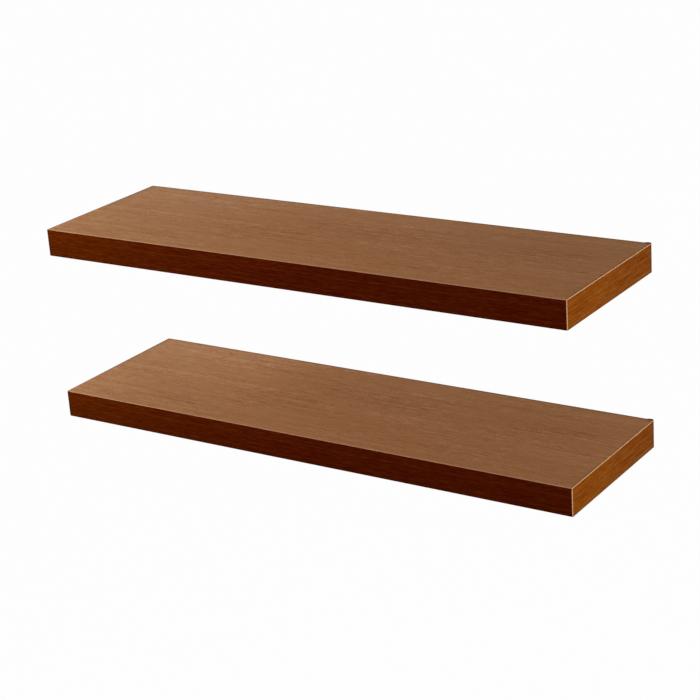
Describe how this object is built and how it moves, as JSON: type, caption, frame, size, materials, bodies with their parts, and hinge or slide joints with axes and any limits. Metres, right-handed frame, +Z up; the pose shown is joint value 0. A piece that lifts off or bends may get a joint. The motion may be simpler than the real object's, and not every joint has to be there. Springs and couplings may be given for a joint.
{
  "type": "floating wall shelf",
  "caption": "Pair of floating wall shelves: hollow-core woodgrain boards that slide over rods on concealed steel wall brackets.",
  "frame": {"origin": "centre of the lower bracket's back face, on the wall plane", "axes": "+X along the wall to the right, +Y into the wall, +Z up; the boards stand out along -Y"},
  "size_m": [0.8, 0.235, 0.2792],
  "materials": {
    "top_foil": "matt brown woodgrain foil",
    "front_foil": "dark red-brown woodgrain foil, satin",
    "end_foil": "orange-brown woodgrain foil, satin",
    "fibreboard": "raw fibreboard",
    "softwood": "raw planed softwood",
    "kraft_paper": "brown kraft paper",
    "bracket_steel": "black powder coat",
    "zinc_steel": "zinc plated"
  },
  "bodies": {
    "brackets": {"lower_left_rod": "bracket_steel", "lower_middle_rod": "bracket_steel", "lower_right_rod": "bracket_steel", "lower_wall_plate": "bracket_steel", "upper_left_rod": "bracket_steel", "upper_middle_rod": "bracket_steel", "upper_right_rod": "bracket_steel", "upper_wall_plate": "bracket_steel"},
    "lower_board": {"lower_back_rail": "softwood", "lower_bottom_panel": "top_foil", "lower_core_1": "kraft_paper", "lower_core_2": "kraft_paper", "lower_core_3": "kraft_paper", "lower_core_4": "kraft_paper", "lower_front_band": "front_foil", "lower_front_rail": "fibreboard", "lower_left_band": "end_foil", "lower_left_rail": "fibreboard", "lower_left_rib": "softwood", "lower_middle_rib": "softwood", "lower_right_band": "end_foil", "lower_right_rail": "fibreboard", "lower_right_rib": "softwood", "lower_top_panel": "top_foil"},
    "lower_left_lock_screw": {"lower_left_lock_screw": "zinc_steel"},
    "lower_right_lock_screw": {"lower_right_lock_screw": "zinc_steel"},
    "upper_board": {"upper_back_rail": "softwood", "upper_bottom_panel": "top_foil", "upper_core_1": "kraft_paper", "upper_core_2": "kraft_paper", "upper_core_3": "kraft_paper", "upper_core_4": "kraft_paper", "upper_front_band": "front_foil", "upper_front_rail": "fibreboard", "upper_left_band": "end_foil", "upper_left_rail": "fibreboard", "upper_left_rib": "softwood", "upper_middle_rib": "softwood", "upper_right_band": "end_foil", "upper_right_rail": "fibreboard", "upper_right_rib": "softwood", "upper_top_panel": "top_foil"},
    "upper_left_lock_screw": {"upper_left_lock_screw": "zinc_steel"},
    "upper_right_lock_screw": {"upper_right_lock_screw": "zinc_steel"}
  },
  "joints": [
    {"name": "lower_board_slide", "type": "slide", "parent": "brackets", "child": "lower_board", "axis": [0, -1, 0], "range_m": [0, 0.16]},
    {"name": "lower_left_lock_screw_out", "type": "slide", "parent": "lower_board", "child": "lower_left_lock_screw", "axis": [0, 0, -1], "range_m": [0, 0.014]},
    {"name": "lower_right_lock_screw_out", "type": "slide", "parent": "lower_board", "child": "lower_right_lock_screw", "axis": [0, 0, -1], "range_m": [0, 0.014]},
    {"name": "upper_board_slide", "type": "slide", "parent": "brackets", "child": "upper_board", "axis": [0, -1, 0], "range_m": [0, 0.16]},
    {"name": "upper_left_lock_screw_out", "type": "slide", "parent": "upper_board", "child": "upper_left_lock_screw", "axis": [0, 0, -1], "range_m": [0, 0.014]},
    {"name": "upper_right_lock_screw_out", "type": "slide", "parent": "upper_board", "child": "upper_right_lock_screw", "axis": [0, 0, -1], "range_m": [0, 0.014]}
  ]
}
